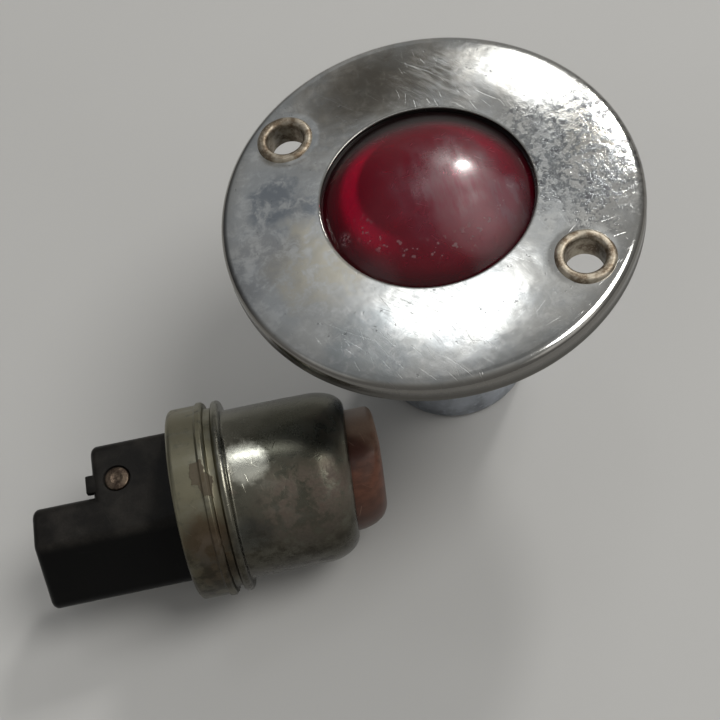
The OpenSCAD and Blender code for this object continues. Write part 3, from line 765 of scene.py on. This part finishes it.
class OBJECT_OT_courtesy_bezel(bpy.types.Operator):
    """Make the plated bezel with its pressed eyelet seats"""

    bl_idname = "object.courtesy_bezel"
    bl_label = "Bezel"

    def execute(self, context):
        sizes = in_mm(context.scene.courtesy_lamp)
        outer = radius_of("bezel")
        top = box_of("bezel")[1].z
        crown = top - sizes.rim_top
        shoulder_r = outer - sizes.shoulder
        span = shoulder_r - sizes.opening

        def face(r):
            return sizes.rim_top + crown * (1 - ((r - sizes.opening) / span) ** 2)

        slope = 2 * crown / span
        steps = 40
        reach = [sizes.opening + span * i / steps for i in range(1, steps)]
        lip, flare = 0.16, 0.10
        inside = outer - sizes.sheet
        corners = [(sizes.opening, top, lip)]
        corners += [(r, face(r), 0) for r in reach]
        corners += [
            (outer, sizes.rim_top - slope * sizes.shoulder, sizes.shoulder * 0.95),
            (outer, 0.8, 0.5), (outer + flare, 0.3, 0.25), (outer + flare, 0, 0.12),
            (inside, 0, 0.2), (inside, sizes.rim_top - sizes.sheet, sizes.shoulder * 0.4),
        ]
        corners += [(r, face(r) - sizes.sheet, 0) for r in reversed(reach)]
        corners += [(sizes.opening, top - sizes.sheet, 0.1)]
        build = lathe(corners, 320)
        seats = eyelet_centres()
        blend, press, unevenness = 1.3, 0.25, 0.03
        for v in build.verts:
            for seat in seats:
                away = (off_axis(v.co) - seat).length
                pressed = 1 - soft_step((away - sizes.seat + blend / 2) / blend)
                out = math.hypot(v.co.x, v.co.y)
                if pressed > 0 and v.co.z > 1.2 and out < shoulder_r:
                    v.co.z -= (face(out) - sizes.rim_top) * pressed * press
            v.co.z += unevenness * sway(v.co, 9, 3.1) * soft_step(v.co.z - 1)
        piece("plated_bezel", build, worn_chrome(context.scene.courtesy_finishes), "lamp",
              ["bezel"], cutters=eyelet_cutters(sizes))
        return {"FINISHED"}


class OBJECT_OT_courtesy_eyelets(bpy.types.Operator):
    """Make the two rolled screw eyelets"""

    bl_idname = "object.courtesy_eyelets"
    bl_label = "Screw Eyelets"

    def execute(self, context):
        sizes = in_mm(context.scene.courtesy_lamp)
        material = worn_brass("eyelet_brass", context.scene.courtesy_finishes.brass, (0.17, 0.13, 0.09))
        seat, bore = sizes.rim_top, sizes.eyelet_bore
        barrel = bore + sizes.eyelet_wall
        under = seat - 2 * sizes.sheet
        for node, centre in zip(("eyelet_left", "eyelet_right"), eyelet_centres()):
            low, high = box_of(node)
            outer = radius_of(node)
            roll = (outer - bore) / 2
            outside = min(roll * 0.95, high.z - seat - 0.12)
            corners = [
                (bore, 0, 0.1), (outer, 0, 0.4), (outer, under, 0.1), (barrel, under, 0),
                (barrel, seat, 0), (outer, seat, 0.05), (outer, high.z, outside),
                (bore, high.z, roll * 0.8),
            ]
            build = lathe(corners, 96, steps=8)
            for v in build.verts:
                if v.co.z > seat - 0.1:
                    v.co += v.co.normalized() * 0.06 * sway(v.co, 1.8, low.x * 0.9)
            bmesh.ops.translate(build, verts=build.verts, vec=centre)
            piece("rolled_" + node, build, material, "lamp", [node])
        return {"FINISHED"}


class OBJECT_OT_courtesy_lens(bpy.types.Operator):
    """Make the red domed lens"""

    bl_idname = "object.courtesy_lens"
    bl_label = "Lens"

    def execute(self, context):
        sizes = in_mm(context.scene.courtesy_lamp)
        low, high = box_of("lens")
        lip_r = radius_of("lens")
        lip_top = low.z + 1.2
        rise = high.z - lip_top
        dome_r = (sizes.lens_edge ** 2 + rise ** 2) / (2 * rise)
        centre = high.z - dome_r
        inner_r = dome_r - sizes.lens_wall
        mouth = math.sqrt(inner_r ** 2 - (low.z - centre) ** 2)

        def cap(radius, edge, count):
            """Points of a dome from the axis out to a radius."""
            return [(r, centre + math.sqrt(radius ** 2 - r ** 2), 0)
                    for r in (edge * i / count for i in range(count + 1))]

        corners = cap(inner_r, mouth, 24)
        corners[-1] = (mouth, low.z, 0)
        corners += [(lip_r, low.z, 0.15), (lip_r, lip_top, 0.15), (sizes.lens_edge + 0.25, lip_top, 0)]
        corners += reversed(cap(dome_r, sizes.lens_edge, 40))
        piece("domed_lens", lathe(corners, closed=False), red_glass(context.scene.courtesy_finishes),
              "lamp", ["lens"])
        return {"FINISHED"}


class OBJECT_OT_courtesy_body(bpy.types.Operator):
    """Make the reflector, housing and tail behind the bezel"""

    bl_idname = "object.courtesy_body"
    bl_label = "Housing and Tail"

    def execute(self, context):
        sizes = in_mm(context.scene.courtesy_lamp)
        tin = sizes.tin
        plating = plated_tin("plated_tin", context.scene.courtesy_finishes.tail, 0.26)

        low, high = box_of("lamp_housing")
        flange_r = radius_of("lamp_housing")
        floor = low.z
        ledge = box_of("reflector")[1].z - 0.5
        well = box_of("lens")[1].x + 0.5
        cup = 14.5
        hole = radius_of("tail_tube") - 1.15
        corners = [
            (flange_r, high.z - tin, 0.3), (flange_r, high.z, 0.3), (well, high.z, 0.35),
            (well, ledge, 0.3), (cup - tin, ledge, 0.4), (cup - tin, floor + tin, 1.0),
            (hole, floor + tin, 0.1), (hole, floor, 0.1), (cup, floor, 1.6),
            (cup, ledge - tin, 0.5), (well + tin, ledge - tin, 0.7), (well + tin, high.z - tin, 0.5),
        ]
        piece("pressed_housing", lathe(corners, 192), plating, "lamp", ["lamp_housing"],
              cutters=eyelet_cutters(sizes))

        low, high = box_of("tail_tube")
        lip_r = radius_of("tail_tube")
        barrel = lip_r - 1.2
        neck = 8.9
        neck_top = low.z + 4.5
        bead_top = high.z - tin
        corners = [
            (neck, low.z, 0.35), (barrel, low.z, 1.0), (barrel, floor - tin, 0.3),
            (lip_r, floor - tin, 0.35), (lip_r, floor, 0.1), (barrel, floor, 0),
            (barrel, bead_top, 0.05), (lip_r, bead_top, 0.1), (lip_r, high.z, 0.35),
            (barrel - tin, high.z, 0.3), (barrel - tin, low.z + tin, 0.4),
            (neck + tin, low.z + tin, 0.4), (neck + tin, neck_top, 0.2), (neck, neck_top, 0.2),
        ]
        build = lathe(corners)
        for v in build.verts:
            swell = 0.06 * sway(Vector((v.co.x, v.co.y, v.co.z * 0.6)), 8, 5.5)
            v.co += off_axis(v.co).normalized() * swell
        piece("drawn_tail", build, plating, "lamp", ["tail_tube"])

        top = box_of("reflector")[1].z
        rim = radius_of("reflector")
        mouth, throat, depth, gauge = 11.5, 9.2, 14, 0.5
        bowl = [(throat + (mouth - throat) * math.sqrt(share), top - depth * (1 - share), 0)
                for share in (i / 20 for i in range(20))]
        corners = bowl + [(mouth, top, 0.2), (rim, top, 0.1), (rim, top - gauge, 0.1),
                          (mouth + gauge, top - gauge, 0.2)]
        corners += [(r + gauge, z, 0) for r, z, _ in reversed(bowl)]
        bright = plated_tin("bright_reflector", (0.82, 0.82, 0.80), 0.10)
        piece("reflector_bowl", lathe(corners, 128), bright, "lamp", ["reflector"])
        return {"FINISHED"}


# Loose bulb holder


class OBJECT_OT_courtesy_shell(bpy.types.Operator):
    """Make the holder's drawn and crimped shell"""

    bl_idname = "object.courtesy_shell"
    bl_label = "Holder Shell"

    def execute(self, context):
        s = in_mm(context.scene.courtesy_holder)
        sheet, w = s.shell_sheet, s.collar_width
        lip = s.collar - 1.7
        ridge = s.collar + 0.3
        groove = s.can + 0.7
        bead = s.can + 1.6
        groove_end = w + 1.1
        bead_end = groove_end + 1.3
        hole = s.socket + 0.15
        inner = s.can - sheet
        inset = s.can - hole - 0.35
        crimped = s.collar - 0.6
        crimp_end = w - 0.15
        corners = [
            (lip, 0, 0.15), (s.collar, 0, 0.8), (s.collar, w - 1.15, 0.25), (ridge, w - 0.9, 0.12),
            (ridge, w - 0.3, 0.22), (s.collar, w, 0.15), (groove, w + 0.05, 0.15),
            (groove, groove_end, 0.2), (bead, groove_end, 0.6), (bead, bead_end, 0.6),
            (s.can, bead_end, 0.35),
        ]
        turn = s.shell_length - s.shoulder
        corners += [(s.can, bead_end + (turn - bead_end) * i / 12, 0) for i in range(1, 12)]

        def shoulder(across, along, steps):
            return [(s.can - inset + across * math.cos(a), turn + along * math.sin(a), 0)
                    for a in (math.pi / 2 * i / steps for i in range(steps + 1))]

        corners += shoulder(inset, s.shoulder, 16)
        corners += [(hole, s.shell_length, 0.12), (hole, s.shell_length - sheet, 0.1)]
        corners += reversed(shoulder(inset - sheet, s.shoulder - sheet, 12))
        corners += [(inner, crimp_end, 0.1), (crimped, crimp_end, 0.1), (crimped, sheet, 0.1),
                    (lip, sheet, 0.1)]
        build = lathe(corners, 224)
        lean_start, lean, sag = 14, 0.078, 0.17
        for v in build.verts:
            out = off_axis(v.co)
            if out.length >= hole + 0.6:
                crimp = 1 - soft_step((v.co.z - w) / 0.6)
                swell = 0.05 * sway(v.co, 7, 2.2) + 0.05 * crimp * sway(v.co, 2.5, 8.4)
                v.co += out.normalized() * swell
            past = soft_step((v.co.z - lean_start) / (s.shell_length - lean_start))
            v.co.z += (lean * v.co.x - sag) * past
        piece("crimped_shell", build, stained_zinc(context.scene.courtesy_finishes), "holder",
              ["holder_shell"])
        return {"FINISHED"}


def rounded_section(section, inset, radius, steps=6):
    """An anticlockwise section moved in by inset, with arcs of one radius at its corners."""
    points = []
    for i, corner in enumerate(section):
        sides = corner - section[i - 1], section[(i + 1) % len(section)] - corner
        before, after = [Vector((side.y, -side.x)).normalized() for side in sides]
        shift = (before + after) / (1 + before.dot(after))
        middle = corner - shift * (inset + radius)
        turn = math.atan2(before.x * after.y - before.y * after.x, before.dot(after))
        for k in range(steps + 1):
            arm = Matrix.Rotation(turn * k / steps, 2) @ before
            points.append(middle + arm * radius)
    return points


def prism(section, rings):
    """A closed prism through rings of a place, an inset and a corner radius."""
    return tube([[(p.x, p.y, place) for p in rounded_section(section, inset, radius)]
                 for place, inset, radius in rings])


def shroud(section, tip, root, radius):
    """The outside of a plug shroud, softened at its open end."""
    soft = 1.0
    rings = [(root + (tip + soft - root) * i / 14, 0, radius) for i in range(15)]
    for a in (math.pi / 10 * k for k in range(1, 6)):
        inset = soft * (1 - math.cos(a))
        rings.append((tip + soft * (1 - math.sin(a)), inset, radius - inset * 0.75))
    return prism(section, rings)


def hollow(section, tip, end, wall, radius):
    """The hollow of a plug shroud, with a small round at its mouth."""
    lip = 0.25
    inner = max(0.15, radius - wall)
    rings = [(tip - 1, wall - lip, inner)]
    for a in (math.pi / 8 * k for k in range(5)):
        rings.append((tip + lip * (1 - math.cos(a)), wall - lip + lip * math.sin(a), inner))
    return prism(section, rings + [(end, wall, inner)])


def soft_block(low, high, soft):
    """A block with softened edges between two corners."""
    build = bmesh.new()
    bmesh.ops.create_cube(build, size=1.0)
    for v in build.verts:
        v.co = [a + (b - a) * (share + 0.5) for a, b, share in zip(low, high, v.co)]
    bmesh.ops.bevel(build, geom=list(build.edges), offset=soft, segments=3, profile=0.5, affect="EDGES")
    return build


class OBJECT_OT_courtesy_block(bpy.types.Operator):
    """Make the black terminal block with its two plug shrouds and its rivet"""

    bl_idname = "object.courtesy_block"
    bl_label = "Terminal Block"

    def execute(self, context):
        s = in_mm(context.scene.courtesy_holder)
        base_r = s.collar - 0.7
        start, end = s.shell_sheet, 4.25
        pocket_r, pocket_floor = 4.3, 2.0
        top, dimple_r, dimple_floor = 2.7, 2.0, 2.3
        under = top - s.wall
        long_end, short_end, root = -s.long_shroud - 0.45, -s.short_shroud, start + 0.3
        long_section, short_section, short_inside = [[Vector(p) for p in section] for section in (
            ((-3.0, top), (-9.7, -5.2), (-8.6, -7.6), (3.2, -7.6), (3.2, top)),
            *(((side, top), (side, -5.5), (9.2, -5.5), (11.2, -2.5), (11.2, top)) for side in (0.0, 2.2)))]
        build = lathe([
            (0, start, 0), (base_r - 1.4, start, 0.1), (base_r, start, 0.2), (base_r, end, 0.2),
            (pocket_r, end, 0.2), (pocket_r, pocket_floor, 0.2), (0, pocket_floor, 0)], 128, closed=False)
        added = [
            shroud(long_section, long_end, root, s.shroud_round),
            shroud(short_section, short_end, root, s.shroud_round),
            soft_block((3.6, under, short_end - 1.0), (6.4, under + 1.1, short_end + 2), 0.25),
        ]
        dimple = lathe([(0, dimple_floor, 0), (dimple_r, dimple_floor, 0.3), (dimple_r, top + 1, 0),
                        (0, top + 1, 0)], 64, closed=False, steps=4)
        rivet_at = Vector((5.0, 0.0, -8.9))
        upright = Matrix.Rotation(-math.pi / 2, 4, "X")
        bmesh.ops.transform(dimple, matrix=Matrix.Translation(rivet_at) @ upright, verts=dimple.verts)
        cutters = [hollow(long_section, long_end, -2.5, s.wall, s.shroud_round),
                   hollow(short_inside, short_end - 1.0, -2.5, s.wall, s.shroud_round), dimple]
        finishes = context.scene.courtesy_finishes
        black = moulding("black_moulding", finishes.black, (0.042, 0.038, 0.033), 0.24)
        piece("moulded_block", build, black, "holder", ["terminal_block"], added, cutters)

        rivet = lathe([
            (0, -1.2, 0), (0.9, -1.2, 0), (0.9, -0.05, 0.05), (1.8, 0, 0.1), (1.75, 0.42, 0.3),
            (0.9, 0.5, 0.2), (0.5, 0.38, 0.2), (0, 0.36, 0)], 64, closed=False)
        for v in rivet.verts:
            v.co.z += 0.05 * sway(v.co, 1.1, 4.4) * soft_step(v.co.z / 0.2)
        seat = Matrix.Translation(rivet_at + Vector((0, dimple_floor, 0)))
        bmesh.ops.transform(rivet, matrix=seat @ upright, verts=rivet.verts)
        brass = worn_brass("rivet_brass", (0.15, 0.115, 0.085), (0.05, 0.036, 0.028))
        piece("domed_rivet", rivet, brass, "holder", ["terminal_rivet"])
        return {"FINISHED"}


class OBJECT_OT_courtesy_socket(bpy.types.Operator):
    """Make the brown bulb socket"""

    bl_idname = "object.courtesy_socket"
    bl_label = "Bulb Socket"

    def execute(self, context):
        s = in_mm(context.scene.courtesy_holder)
        bore, start, flange_r = 5.5, 6.2, 11.2
        flange_end = s.shell_length - s.shoulder - 0.05
        flange_start = flange_end - 1.5
        corners = [
            (bore, start, 0.2), (s.socket, start, 0.3), (s.socket, flange_start, 0.2),
            (flange_r, flange_start, 0.2), (flange_r, flange_end, 0.2), (s.socket, flange_end, 0.2),
        ]
        corners += [(s.socket, s.shell_length + 0.3 * i, 0) for i in range(-1, 9)]
        corners += [(s.socket, s.socket_end, 1.1), (bore + 0.4, s.socket_end, 0.35),
                    (bore, s.socket_end - 0.7, 0.2)]
        build = lathe(corners, 128, steps=8)
        worn_length, worn_depth, lean = 5.2, 2.9, 0.06
        for v in build.verts:
            out = off_axis(v.co)
            if v.co.z > s.shell_length + 0.1:
                v.co += out.normalized() * 0.06 * sway(v.co, 4, 6.6)
            past = (v.co.z - s.socket_end + worn_length) / worn_length
            if past > 0:
                side = soft_step(0.15 - out.normalized().x * 0.95)
                drop = side * worn_depth * (1 - math.sqrt(max(0.0, 1 - min(1.0, past) ** 2)))
                v.co -= out.normalized() * drop * (out.length - bore) / (s.socket - bore)
                v.co.z += lean * min(0.0, v.co.x) * min(1.0, past)
        piece("moulded_socket", build, socket_moulding(context.scene.courtesy_finishes), "holder",
              ["bulb_socket"])
        return {"FINISHED"}


class OBJECT_OT_courtesy_spring(bpy.types.Operator):
    """Wind the contact spring behind the plunger"""

    bl_idname = "object.courtesy_spring"
    bl_label = "Contact Spring"

    def execute(self, context):
        wire, coil_r, turns = 0.3, 3.2, 4
        pocket_floor, plunger = 2.4, 6.4
        start, end = pocket_floor + wire, plunger - wire
        around, sides = 56, 14
        loops = []
        total = around * turns
        for i in range(total + 1):
            angle = 2 * math.pi * i / around
            climb = 0.3 * i / total + 0.7 * soft_step(i / total)
            outward = Vector((math.cos(angle), math.sin(angle), 0))
            middle = outward * coil_r + Vector((0, 0, start + (end - start) * climb))
            loops.append([middle + wire * (outward * math.cos(b) + Vector((0, 0, 1)) * math.sin(b))
                          for b in (2 * math.pi * k / sides for k in range(sides))])
        steel = plated_tin("spring_steel", (0.62, 0.61, 0.58), 0.18)
        spring = piece("wound_spring", tube(loops), steel, "holder", ["contact_spring"])
        travel = joint("plunger_travel")["range_m"][1] / MM
        free = plunger - pocket_floor
        (free - travel) / free
        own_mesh(spring)
        return {"FINISHED"}


class OBJECT_OT_courtesy_inner(bpy.types.Operator):
    """Give the model's own small inner parts their finishes"""

    bl_idname = "object.courtesy_inner"
    bl_label = "Inner Parts"

    def execute(self, context):
        dress = (
            (rubber(), "lens_gasket seal_ring"),
            (worn_brass("terminal_brass", (0.60, 0.44, 0.22), (0.26, 0.16, 0.08)),
             "live_terminal earth_terminal live_contact earth_washer bayonet_sleeve plunger_contact"),
            (pressed_fibre(), "plunger_disc"),
            (plated_tin("cap_nickel", (0.66, 0.63, 0.55), 0.2), "bulb_cap"),
            (plated_tin("filament_wire", (0.30, 0.30, 0.32), 0.3), "bulb_filament"),
            (plated_tin("solder", (0.60, 0.60, 0.60), 0.32), "bulb_contact"),
            (clear_glass(), "bulb_glass filament_bead"),
            (moulding("black_glass", (0.015, 0.015, 0.025), (0.05, 0.05, 0.06), 0.1), "cap_insulator"),
        )
        for material, nodes in dress:
            for node in nodes.split():
                for place in frame["nodes"][node].material_slots:
                    place.material = material
        return {"FINISHED"}


# Stage

CAMERA_PLACE = (-12.14, -83.22, 119.1)
CAMERA_FORWARD = (-0.0161, 0.4783, -0.878)
CAMERA_UP = (0.2916, 0.8422, 0.4535)
LAMP_TINT = (1.0, 0.98, 0.95)


def look_along(forward, up):
    """A rotation whose -Z points along forward, as cameras and lamps need."""
    back = -Vector(forward).normalized()
    right = Vector(up).cross(back).normalized()
    return Matrix((right, back.cross(right), back)).transposed().to_4x4()


def bearing(around, height):
    """The direction at an angle from +Y towards +X and at a height above the floor, in degrees."""
    around, height = math.radians(around), math.radians(height)
    flat = math.cos(height)
    return Vector((math.sin(around) * flat, math.cos(around) * flat, math.sin(height)))


class OBJECT_OT_courtesy_stage(bpy.types.Operator):
    """Set the floor, the lamps, the room's light and the camera"""

    bl_idname = "object.courtesy_stage"
    bl_label = "Stage"

    def execute(self, context):
        scene = context.scene
        studio = scene.courtesy_studio
        scene.view_settings.view_transform = "Standard"
        self.add_floor(scene)
        self.add_lamp("key_lamp", (96, 56), 15.0, studio.key, studio.distance)
        self.add_lamp("back_lamp", (39.5, 40.5), 4.0, studio.back, studio.distance)
        self.light_room(scene, studio)

        data = bpy.data.cameras.new("photo_camera")
        data.lens = 55
        data.clip_start = 5 * MM
        camera = bpy.data.objects.new("photo_camera", data)
        camera.matrix_world = (Matrix.Translation(Vector(CAMERA_PLACE) * MM)
                               @ look_along(CAMERA_FORWARD, CAMERA_UP))
        scene.collection.objects.link(camera)
        scene.camera = camera
        return {"FINISHED"}

    def add_floor(self, scene):
        build = bmesh.new()
        bmesh.ops.create_grid(build, x_segments=8, y_segments=8, size=3000)
        floor = new_object("floor", build)
        floor.location.z = cad_box[0][2]
        floor.data.materials.append(pale_floor(scene.courtesy_finishes))

    def add_lamp(self, name, toward, spread, share, distance):
        """A round lamp at a bearing and height, of a half-angle in degrees, for a share of full light."""
        toward = bearing(*toward)
        data = bpy.data.lights.new(name, "AREA")
        data.shape = "DISK"
        data.size = 2 * distance * math.tan(math.radians(spread))
        data.color = LAMP_TINT
        data.energy = share * math.pi ** 2 * distance ** 2 / toward.z
        lamp = bpy.data.objects.new(name, data)
        target = Vector((0, 0, 4 * MM))
        place = Matrix.Translation(target + toward * distance)
        lamp.matrix_world = place @ look_along(-toward, (0, 1, 0.01))
        bpy.context.scene.collection.objects.link(lamp)

    def light_room(self, scene, studio):
        """A dim room with soft glows and dark places, set by bearing and height."""
        room = Finish("room", bpy.data.worlds)
        scene.world = room.data
        toward = room.node("TexCoord", out="Generated")

        def lobe(direction, inner, outer):
            """1 near a direction and 0 beyond the outer angle, in degrees."""
            aligned = room.along(toward, bearing(*direction))
            return aligned.rise(math.cos(math.radians(outer)), math.cos(math.radians(inner)))

        dark = lobe((5.5, 42), 2, 10)
        dusk = lobe((-45, 8), 14, 46)
        windows = lobe((135, 34), 5, 20) + lobe((-112, 34), 5, 20) * 0.35
        level = (1 - dark * 0.68) * (1 - dusk * 0.7) * (1 - lobe((34, 75), 3, 9) * 0.4)
        level = level * (1 + lobe((12, 62), 4, 15) * 0.9 + windows * 2.5) * studio.fill
        level = level + lobe((22.5, 40.5), 1.5, 7) * studio.low_glow
        level = level + lobe((10.5, 63.8), 1.0, 6.8) * studio.high_glow
        sky = room.mix(lobe((-50, 50), 10, 60), (1.0, 0.98, 0.94), (0.96, 0.98, 1.0))
        sky = room.mix(dark * 0.8, sky, (1.0, 0.90, 0.76))
        shader = room.node("Background", None, {"Color": sky, "Strength": level})
        room.node("OutputWorld", None, {"Surface": shader})


# Add-on

SETTINGS = {
    "courtesy_lamp": LampSizes, "courtesy_holder": HolderSizes,
    "courtesy_finishes": Finishes, "courtesy_studio": StudioSettings,
}
STEPS = (
    OBJECT_OT_courtesy_bezel, OBJECT_OT_courtesy_eyelets, OBJECT_OT_courtesy_lens,
    OBJECT_OT_courtesy_body, OBJECT_OT_courtesy_shell, OBJECT_OT_courtesy_block,
    OBJECT_OT_courtesy_socket, OBJECT_OT_courtesy_spring, OBJECT_OT_courtesy_inner,
    OBJECT_OT_courtesy_stage,
)


class VIEW3D_PT_courtesy_light(bpy.types.Panel):
    """Sizes, colours and the steps that make the courtesy light"""

    bl_label = "Courtesy Light"
    bl_space_type = "VIEW_3D"
    bl_region_type = "UI"
    bl_category = "Courtesy Light"

    def draw(self, context):
        for name in SETTINGS:
            group = getattr(context.scene, name)
            box = self.layout.box()
            for key in group.__annotations__:
                box.prop(group, key)
        for step in STEPS:
            self.layout.operator(step.bl_idname)


CLASSES = (*SETTINGS.values(), *STEPS, VIEW3D_PT_courtesy_light)


def register():
    for cls in CLASSES:
        bpy.utils.register_class(cls)
    for name, group in SETTINGS.items():
        setattr(bpy.types.Scene, name, PointerProperty(type=group))


def unregister():
    for name in SETTINGS:
        delattr(bpy.types.Scene, name)
    for cls in reversed(CLASSES):
        bpy.utils.unregister_class(cls)


def main():
    register()
    for step in STEPS:
        group, _, name = step.bl_idname.partition(".")
        getattr(getattr(bpy.ops, group), name)()


if __name__ == "__main__":
    main()
